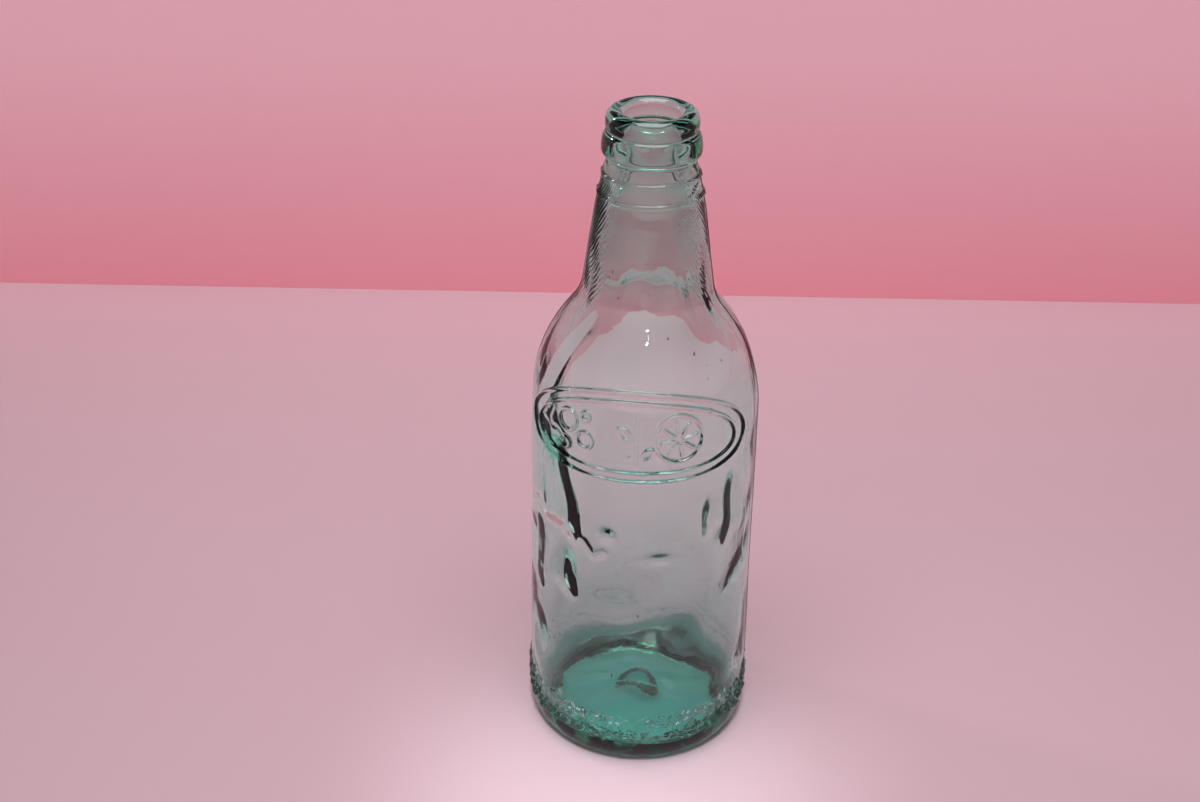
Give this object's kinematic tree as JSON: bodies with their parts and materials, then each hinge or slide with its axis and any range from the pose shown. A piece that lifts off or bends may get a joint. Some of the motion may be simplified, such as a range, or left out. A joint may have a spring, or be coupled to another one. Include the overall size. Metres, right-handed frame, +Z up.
{
  "type": "glass soda bottle",
  "caption": "Open glass soda bottle with a crown finish, long neck, round shoulder, raised double-line oval label and stippled heel.",
  "frame": {"origin": "centre of the base, on the plane of the ring that bears on the table", "axes": "+Z up the bottle's axis to the mouth, -Y towards the front label, +X to the right as the front is seen"},
  "size_m": [0.071, 0.071, 0.206],
  "materials": {
    "pale_glass": "polished, pale grey-green, slightly wavy",
    "sea_glass": "polished, thick, looks sea green"
  },
  "bodies": {
    "root": {"crown_lip": "pale_glass", "neck_bead": "pale_glass", "neck": "pale_glass", "shoulder": "pale_glass", "body_wall": "pale_glass", "heel": "sea_glass", "base": "sea_glass", "front_oval_outer": "pale_glass", "front_oval_inner": "pale_glass", "front_bubbles": "pale_glass", "front_citrus": "pale_glass", "neck_rings": "pale_glass", "heel_stipple": "sea_glass", "seam_left": "pale_glass", "seam_right": "pale_glass", "base_mark": "sea_glass"}
  },
  "joints": []
}
